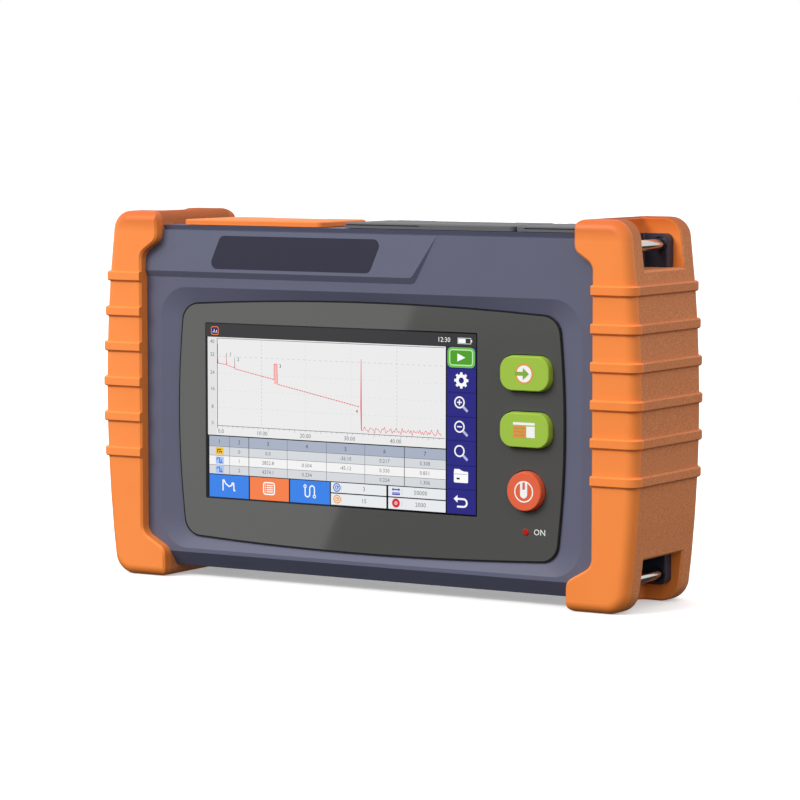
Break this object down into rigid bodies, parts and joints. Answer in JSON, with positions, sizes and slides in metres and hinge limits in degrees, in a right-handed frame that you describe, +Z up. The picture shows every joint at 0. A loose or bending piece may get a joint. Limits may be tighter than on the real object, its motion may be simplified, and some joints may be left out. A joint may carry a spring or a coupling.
{
  "type": "optical time domain reflectometer",
  "caption": "Handheld fibre test instrument: grey case with soft orange end bumpers, strap bars, touch display, keys, covered top ports and a folding rear stand.",
  "frame": {"origin": "middle of the base, on the plane that the bumpers stand on", "axes": "+X to the viewer's right across the long side, -Y out of the display, +Z up"},
  "size_m": [0.2806, 0.0676, 0.1683],
  "materials": {
    "housing": "fine satin moulded plastic, blue-grey",
    "bumper": "soft overmould, satin orange",
    "optical_cover": "soft overmould, satin orange",
    "port_cover": "soft grey rubber",
    "panel": "clear gloss over dark grey",
    "glass": "clear hard glass",
    "display": "dark display",
    "green_key": "satin silicone, yellow-green",
    "red_key": "satin silicone, coral red",
    "lamp": "clear red lens",
    "bracket": "navy-black nylon",
    "bar": "polished steel",
    "steel": "plain steel",
    "plated": "nickel plate",
    "socket_shell": "tin plate",
    "black_plastic": "black moulded plastic",
    "board": "green circuit board",
    "seal": "soft silicone"
  },
  "bodies": {
    "case": {"adapter_nuts": "plated", "battery_door": "housing", "battery_door_screws": "steel", "battery_pack": "black_plastic", "battery_tray": "black_plastic", "dc_cover_pin": "steel", "dc_jack": "black_plastic", "ethernet_socket": "socket_shell", "fault_locator_adapter": "plated", "front_housing": "housing", "front_panel": "panel", "housing_gasket": "seal", "housing_screws": "steel", "io_port_tray": "housing", "key_board": "board", "keypad_mat": "seal", "lcd_frame": "steel", "lcd_module": "display", "left_bumper": "bumper", "main_board": "board", "nameplate": "housing", "optical_cover_pin": "steel", "optical_module": "black_plastic", "optical_port_tray": "housing", "otdr_adapter": "plated", "power_meter_adapter": "plated", "rear_housing": "housing", "right_bumper": "bumper", "speaker": "black_plastic", "stand_pins": "steel", "status_led": "lamp", "strap_bar_bottom_left": "bar", "strap_bar_bottom_right": "bar", "strap_bar_top_left": "bar", "strap_bar_top_right": "bar", "strap_bracket_bottom_left": "bracket", "strap_bracket_bottom_right": "bracket", "strap_bracket_top_left": "bracket", "strap_bracket_top_right": "bracket", "touch_glass": "glass", "usb_a_socket": "socket_shell", "usb_c_socket": "socket_shell", "usb_cover_pin": "steel"},
    "dc_cover": {"dc_cover": "port_cover"},
    "enter_key": {"enter_key": "green_key"},
    "kickstand": {"kickstand": "housing"},
    "menu_key": {"menu_key": "green_key"},
    "optical_cover": {"optical_cover": "optical_cover"},
    "power_key": {"power_key": "red_key"},
    "usb_cover": {"usb_cover": "port_cover"}
  },
  "joints": [
    {"name": "enter_key_press", "type": "slide", "parent": "case", "child": "enter_key", "axis": [0, 1, 0], "range_m": [0, 0.0008], "stiffness_N_per_m": 1200},
    {"name": "menu_key_press", "type": "slide", "parent": "case", "child": "menu_key", "axis": [0, 1, 0], "range_m": [0, 0.0008], "stiffness_N_per_m": 1200},
    {"name": "power_key_press", "type": "slide", "parent": "case", "child": "power_key", "axis": [0, 1, 0], "range_m": [0, 0.0008], "stiffness_N_per_m": 1200},
    {"name": "optical_cover_hinge", "type": "hinge", "parent": "case", "child": "optical_cover", "pos_m": [0, 0.0171, 0.1624], "axis": [-1, 0, 0], "range_deg": [0, 110]},
    {"name": "usb_cover_hinge", "type": "hinge", "parent": "case", "child": "usb_cover", "pos_m": [0, 0.0171, 0.1624], "axis": [-1, 0, 0], "range_deg": [0, 110]},
    {"name": "dc_cover_hinge", "type": "hinge", "parent": "case", "child": "dc_cover", "pos_m": [0, 0.0171, 0.1624], "axis": [-1, 0, 0], "range_deg": [0, 110]},
    {"name": "kickstand_hinge", "type": "hinge", "parent": "case", "child": "kickstand", "pos_m": [0, 0.0274, 0.108], "axis": [1, 0, 0], "range_deg": [0, 50]}
  ]
}
